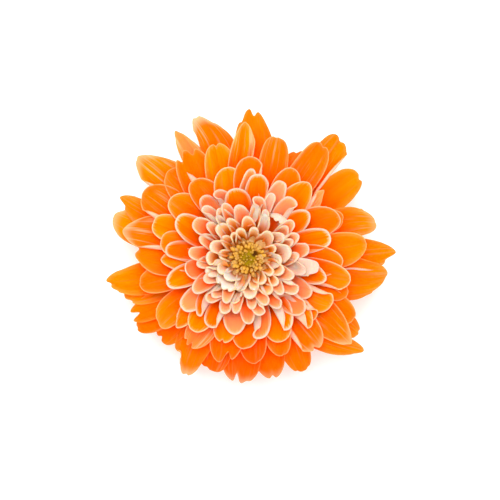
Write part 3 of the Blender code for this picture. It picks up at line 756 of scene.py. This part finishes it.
discShape = {
    "radius": 4.3 * mm, "edge": 0.6 * mm, "crown": 1.3 * mm, "rings": (1, 0.85, 0.7, 0.5, 0.3, 0.12),
    "florets": 80, "spread": 3.75 * mm, "stray": 0.3 * mm, "lifted": 0.3 * mm, "seed": 77,
    "closed": 26, "openShare": 0.45,  # the first ones stay closed, and this share of the others opens
    "budRadius": 0.47 * mm, "budHeight": 0.85 * mm, "lobes": 5,
    "middleLean": 10, "edgeLean": 44, "leanStray": 0.25,  # degrees, and the stray in radians
    "hollow": (1.7 * mm, 1.1 * mm), "hollowRadius": 1.3 * mm, "hollowDepth": 1.6 * mm, "bare": 0.4,
}
chaffSkin = {  # what shows between the florets
    "middle": (0.36, 0.24, 0.0), "edge": (0.3, 0.09, 0.0), "speck": (0.3, 0.12, 0.0),
    # the pit's near-black is painted shade in the hollow
    "pitShade": (0.07, 0.02, 0.0),
    "turns": (1.2 * mm, 3.2 * mm), "pitSquare": (0.1 * mm * mm, 1.4 * mm * mm),
}
floretSkins = {
    "closed": {"middle": (0.34, 0.21, 0.0), "edge": (0.74, 0.4, 0.05), "deepShade": (0.42, 0.17, 0.0),
               "tip": (0.74, 0.46, 0.13), "tipShare": 0.5, "mouthShare": 0.0},
    "opening": {"middle": (0.5, 0.29, 0.0), "edge": (0.78, 0.45, 0.1), "deepShade": (0.54, 0.18, 0.0),
                "tip": (0.74, 0.55, 0.28), "tipShare": 0.8, "mouthShare": 0.6},
}


def chaffFinish():
    skin = Finish("discChaff", Specular_IOR_Level=0.1, Roughness=0.8)
    here = skin.here()
    chaff = skin.noise(here, 2400.0, 3.0)
    x, y, _ = skin.parts(here)
    away = (x * x + y * y).root()
    colour = skin.mix(away.between(*chaffSkin["turns"]), chaffSkin["middle"], chaffSkin["edge"])
    colour = skin.mix((chaff - 0.3) * 0.8, colour, chaffSkin["speck"])
    # A near-black pit in the hollow where the florets part: painted shade
    beside, above = x - discShape["hollow"][0], y - discShape["hollow"][1]
    pitShade = 1 - (beside * beside + above * above).between(*chaffSkin["pitSquare"])
    skin.paint(skin.mix(pitShade, colour, chaffSkin["pitShade"]))
    skin.relief(chaff, 0.12 * mm)
    return skin.material


def floretFinish(name, colours):
    skin = Finish(name, Subsurface_Weight=0.2, Subsurface_Radius=(1.0, 0.6, 0.15), Subsurface_Scale=0.6 * mm,
                  Specular_IOR_Level=0.2, Roughness=0.55)
    share, tint, v = skin.attribute("share"), skin.attribute("tint"), skin.uv()[1]
    grain = skin.noise(skin.here(), 2600.0, 3.0)
    colour = skin.mix(share.between(0.15, 0.75) + (tint - 0.5) * 0.5, colours["middle"], colours["edge"])
    # Darker and redder at each floret's foot, where the florets crowd: painted shade
    colour = skin.mix(v.between(0.4, 0.7), colours["deepShade"], colour)
    tips = v.between(0.7, 0.92) * tint.between(0.1, 0.8) * colours["tipShare"]
    colour = skin.mix(tips, colour, colours["tip"])
    # The same darker colour in an opening floret's mouth: painted shade
    colour = skin.mix(v.between(0.93, 0.99) * colours["mouthShare"], colour, colours["deepShade"])
    skin.paint(skin.mix((grain - 0.45) * 0.8, colour, colours["tip"]))
    skin.relief(grain, 0.03 * mm)
    return skin.material


def budShape(template, opening):
    # An egg with five seams towards its top, where an opening one spreads its lobes round a dimple
    unit = meshPoints(template) / discShape["budRadius"]
    angle = np.arctan2(unit[:, 1], unit[:, 0])
    seam = 1 - np.abs(np.cos(0.5 * discShape["lobes"] * angle)) ** 0.6
    high = np.clip(unit[:, 2], 0, 1)
    grow = 0.84 + 0.16 * high + opening * 0.5 * smooth(high, 0.4, 0.95)
    grow = grow * (1 - (0.2 + 0.35 * opening) * seam * high)
    dimple = (0.16 * seam + opening * 0.6 * smooth(high, 0.75, 1.0)) * high ** 3
    return np.stack([
        unit[:, 0] * grow * discShape["budRadius"], unit[:, 1] * grow * discShape["budRadius"],
        (unit[:, 2] - dimple) * discShape["budHeight"]
    ], 1)


def disc():
    size = discShape
    rim = discFoot + size["edge"]
    dome = turnedPiece("discDome", (
        (size["radius"], discFoot),
        *((size["radius"] * share, rim + size["crown"] * (1 - share * share)) for share in size["rings"])
    ))
    finished(dome, "disc_florets", "disc", 50, chaffFinish())

    bpy.ops.mesh.primitive_uv_sphere_add(segments=20, ring_count=14, radius=size["budRadius"])
    template = bpy.context.active_object
    shapes = {"closed": budShape(template, 0.0), "opening": budShape(template, 1.0)}
    heads = {"closed": [], "opening": []}
    whim = random.Random(size["seed"])
    for number in range(size["florets"]):
        share = math.sqrt((number + 0.5) / size["florets"])
        heading = Matrix.Rotation(number * goldenAngle, 3, "Z")
        away = size["spread"] * share
        place = heading @ Vector((away, 0, rim + size["crown"] * (1 - (away / size["radius"]) ** 2)))
        place.x += around(whim, size["stray"])
        place.y += around(whim, size["stray"])
        fromHollow = math.dist(place[:2], size["hollow"]) / size["hollowRadius"]
        if fromHollow < size["bare"]:
            continue
        place.z -= size["hollowDepth"] * max(0, 1 - fromHollow)
        lean = math.radians(size["middleLean"] + (size["edgeLean"] - size["middleLean"]) * share ** 2)
        tilt = Matrix.Rotation(lean + around(whim, size["leanStray"]), 3, "Y")
        spin = Matrix.Rotation(whim.uniform(0, math.tau), 3, "Z")
        state = "opening" if number >= size["closed"] and whim.random() < size["openShare"] else "closed"
        facts = {"share": share, "tint": whim.random()}
        broad, tall = 0.75 + 0.5 * share ** 2, 0.6 + 1.0 * share ** 2  # larger towards the rim
        grow = np.array([broad, broad, tall]) * whim.uniform(0.7, 1.3)
        points = shapes[state] * grow + (0, 0, size["lifted"])
        turn = np.array(heading @ tilt @ spin)
        heads[state].append(copyShaped(template, points @ turn.T + place, facts))
    bpy.data.objects.remove(template)
    for state, florets in heads.items():
        piece = joined(state + "Florets", florets)
        finished(piece, "disc_florets", "disc", 70, floretFinish(state + "FloretSkin", floretSkins[state]))


involucreShape = {
    "baseRadius": 4.6 * mm, "rimRadius": 9.8 * mm, "rows": 3, "perRow": 11, "thick": 0.3 * mm,
    "rootDepth": 0.3 * mm, "tipStandoff": 0.9 * mm, "halfWidth": 1.55 * mm, "wider": 0.4 * mm,
    "firstFoot": 0.04, "rowStep": 0.22, "length": 0.5,  # shares of the cup's height
    "rings": (0.06, 0.15, 0.3, 0.5, 0.75, 0.97), "closesTo": 0.3, "seed": 31, "stray": 0.06,
    "widest": 0.45, "claw": 0.75, "blunt": 1.7, "bodyRows": 0.5, "grid": (14, 20),
    "keel": 0.12 * mm, "keelWidth": 0.16, "tipTuck": 0.35 * mm, "tuckFrom": 0.7,
}


bractSkin = {
    "root": (0.2, 0.3, 0.1), "tip": (0.12, 0.2, 0.05), "fibre": (0.3, 0.38, 0.16), "speck": (0.34, 0.4, 0.2),
    "papery": (0.42, 0.27, 0.12), "paperyAt": (0.16, 0.42), "edge": (0.2, 0.1, 0.04), "edgeAt": (0.0, 0.1),
    "cupDark": (0.13, 0.2, 0.05), "cupLight": (0.3, 0.38, 0.15),
}


def cupRadius(share):
    low, high = involucreShape["baseRadius"], involucreShape["rimRadius"]
    return low + (high - low) * np.sin(0.5 * np.pi * np.clip(share, 0, 1)) ** 0.9


def bractFinish():
    skin = Finish("bractSkin", Specular_IOR_Level=0.25, Subsurface_Weight=0.08,
                  Subsurface_Radius=(0.5, 1.0, 0.2), Subsurface_Scale=0.5 * mm)
    u, v = skin.uv()
    tint, edge = skin.attribute("tint"), skin.attribute("fromEdge")
    fibres = skin.noise(skin.place((u + tint * 5.1) * 22.0, v * 1.5, tint * 13.0), 1.0, 3.0)
    grain = skin.noise(skin.here(), 1500.0, 3.0)
    colour = skin.mix(v.between(0.1, 0.9), bractSkin["root"], bractSkin["tip"])
    colour = skin.mix(fibres.between(0.4, 0.75) * 0.5, colour, bractSkin["fibre"])
    colour = skin.mix((grain - 0.5) * 0.5 + (tint - 0.5) * 0.3, colour, bractSkin["speck"])
    papery = 1 - (edge + (grain - 0.5) * 0.25).between(*bractSkin["paperyAt"])
    colour = skin.mix(papery, colour, bractSkin["papery"])
    brown = 1 - (edge + (grain - 0.5) * 0.2).between(*bractSkin["edgeAt"])
    colour = skin.mix(brown, colour, bractSkin["edge"])
    skin.paint(colour, 0.55 + (grain - 0.5) * 0.3)
    skin.relief(fibres * 0.7 + grain * 0.3, 0.05 * mm)
    return skin.material


def receptacleFinish():
    skin = Finish("receptacleSkin", Specular_IOR_Level=0.25, Roughness=0.6)
    grain = skin.noise(skin.here(), 700.0, 4.0)
    skin.paint(skin.mix(grain, bractSkin["cupDark"], bractSkin["cupLight"]))
    skin.relief(grain, 0.08 * mm)
    return skin.material


def involucre():
    size = involucreShape
    tall = cupTop - cupFoot
    cup = turnedPiece("involucreCup", (
        (0.96 * size["baseRadius"], cupFoot),
        *((float(cupRadius(share)), cupFoot + tall * share) for share in size["rings"]),
        (0.97 * size["rimRadius"], cupTop), (size["closesTo"] * size["rimRadius"], cupTop)
    ))
    finished(cup, "involucre", "bracts", 45, receptacleFinish())

    template, gridX, gridY = bladeTemplate(*size["grid"])
    whim = random.Random(size["seed"])
    scales = []
    for row in range(size["rows"]):
        foot = size["firstFoot"] + size["rowStep"] * row
        half = size["halfWidth"] + size["wider"] * row
        for i in range(size["perRow"]):
            turned = i + 0.5 * (row % 2) + around(whim, size["stray"])
            bearing = math.tau * turned / size["perRow"]
            blunt = size["blunt"] + whim.uniform(-0.15, 0.2)
            shareX, along, localHalf, fromEdge, _ = flatBlade(
                gridX, gridY, half, size["length"] * tall, size["widest"], size["claw"], blunt,
                size["bodyRows"]
            )
            level = foot + size["length"] * along * whim.uniform(0.95, 1.05)
            across = shareX * localHalf
            radius = cupRadius(level) + (size["tipStandoff"] + size["rootDepth"]) * along - size["rootDepth"]
            radius = radius + size["keel"] * np.exp(-(shareX / size["keelWidth"]) ** 2) * (1 - along)
            radius = radius - size["tipTuck"] * np.clip(along - size["tuckFrom"], 0, 1) * shareX ** 2
            radius = radius - across ** 2 / (2 * radius)
            height = cupFoot + tall * level
            points = np.stack([
                across * math.cos(bearing) + radius * math.sin(bearing),
                radius * math.cos(bearing) - across * math.sin(bearing), height
            ], 1)
            scales.append(copyShaped(template, points, {"fromEdge": fromEdge / mm, "tint": whim.random()}))
    bpy.data.objects.remove(template)
    piece = joined("bracts", scales)
    applied(piece, "SOLIDIFY", thickness=size["thick"], offset=-1)
    finished(piece, "involucre", "bracts", 55, bractFinish())


stemShape = {
    "height": 4.2 * mm, "sides": 108, "ribs": 9, "ribDepth": 0.14 / 3.3,  # share of the radius
    "rings": (  # radius in mm, share of the height
        (3.8, 0), (3.686, 0.12), (3.3, 0.35), (3.3, 0.7), (3.7, 0.85), (4.5, 1), (1.0, 1)
    ),
    "pith": (1.7 * mm, 2.1 * mm), "rind": (2.9 * mm, 3.3 * mm),  # where each ends or starts on the cut face
}


stemSkin = {
    "dark": (0.16, 0.26, 0.07), "light": (0.27, 0.36, 0.12), "fibre": (0.4, 0.46, 0.22),
    "pith": (0.72, 0.7, 0.5), "wood": (0.5, 0.52, 0.26), "rind": (0.24, 0.3, 0.1), "cells": (0.85, 0.8, 0.6),
}


def stemFinish():
    skin = Finish("stemSkin", Specular_IOR_Level=0.3, Subsurface_Weight=0.08,
                  Subsurface_Radius=(0.6, 1.0, 0.3), Subsurface_Scale=0.8 * mm)
    here = skin.here()
    x, y, z = skin.parts(here)
    fibres = skin.noise(skin.place(x, y, z * 0.08), 2600.0, 3.0)
    patches = skin.noise(here, 260.0, 3.0)
    colour = skin.mix(patches.between(0.3, 0.7), stemSkin["dark"], stemSkin["light"])
    colour = skin.mix(fibres.between(0.45, 0.75) * 0.6, colour, stemSkin["fibre"])
    skin.paint(colour, 0.5 + (fibres - 0.5) * 0.3)
    skin.relief(fibres, 0.04 * mm)
    return skin.material


def cutFinish():
    skin = Finish("cutFace", Specular_IOR_Level=0.3, Roughness=0.65)
    here = skin.here()
    x, y, _ = skin.parts(here)
    distance = (x * x + y * y).root()
    cells = skin.noise(here, 2200.0, 4.0)
    colour = skin.mix(distance.between(*stemShape["pith"]), stemSkin["pith"], stemSkin["wood"])
    colour = skin.mix(distance.between(*stemShape["rind"]), colour, stemSkin["rind"])
    skin.paint(skin.mix((cells - 0.45) * 0.9, colour, stemSkin["cells"]))
    skin.relief(cells, 0.12 * mm)
    return skin.material


def stem():
    size = stemShape
    profile = [(radius * mm, share * size["height"]) for radius, share in size["rings"]]
    stub = turnedPiece("stemStub", profile, size["sides"])
    flat = meshPoints(stub)
    angle = np.arctan2(flat[:, 1], flat[:, 0])
    grow = 1 + size["ribDepth"] * (np.abs(np.sin(0.5 * size["ribs"] * angle)) - 1)
    flat[:, :2] *= grow[:, None]
    stub.data.vertices.foreach_set("co", flat.ravel())
    for face in stub.data.polygons:
        face.material_index = int(face.normal.z < -0.99)
    finished(stub, "peduncle", "stem", 40, stemFinish(), cutFinish())


studioLight = {
    "floor": 3.0, "floorWhite": 0.97, "floorGlow": 0.12, "room": 0.95,
    "keyPower": 8.0, "keySize": 0.6, "keyPlace": (-0.05, 0.25, 1.0), "keyAim": (0, 0, 0.02),
}


def studio():
    size = studioLight
    white = size["floorWhite"]
    bpy.ops.mesh.primitive_plane_add(size=size["floor"], location=(0, 0, 0))
    floor = bpy.context.active_object
    floor.name = "floor"
    floor.data.materials.append(Finish(
        "paleFloor", Base_Color=(white, white, white, 1), Roughness=0.9,
        Emission_Color=(1, 1, 1, 1), Emission_Strength=size["floorGlow"]
    ).material)
    world = bpy.data.worlds.new("softRoom")
    world.use_nodes = True
    room = world.node_tree.nodes["Background"]
    room.inputs["Color"].default_value = (1, 1, 1, 1)
    room.inputs["Strength"].default_value = size["room"]
    bpy.context.scene.world = world
    bpy.ops.object.light_add(type="AREA", location=size["keyPlace"])
    key = bpy.context.active_object
    key.data.size = size["keySize"]
    key.data.energy = size["keyPower"]
    key.rotation_euler = (Vector(size["keyAim"]) - key.location).to_track_quat("-Z", "Y").to_euler()
    bpy.context.scene.view_settings.view_transform = "Standard"
    print("studio lit")


# The photograph in pixels, and in metres the camera's height and that of the petals it measures
photo = {"middle": 250, "mmPerPixel": 0.26, "discX": 248, "discY": 258, "height": 0.7, "petalHeight": 0.02}


def camera():
    x = (photo["middle"] - photo["discX"]) * photo["mmPerPixel"] * mm
    y = (photo["discY"] - photo["middle"]) * photo["mmPerPixel"] * mm
    seen = 2 * photo["middle"] * photo["mmPerPixel"] * mm
    bpy.ops.object.camera_add(location=(x, y, photo["height"]), rotation=(0, 0, 0))
    eye = bpy.context.active_object
    eye.data.sensor_width = 36
    eye.data.lens = eye.data.sensor_width * (photo["height"] - photo["petalHeight"]) / seen
    eye.data.clip_start = 0.01
    bpy.context.scene.camera = eye
    print("camera set, lens", round(eye.data.lens))


rays()
disc()
involucre()
stem()
studio()
camera()
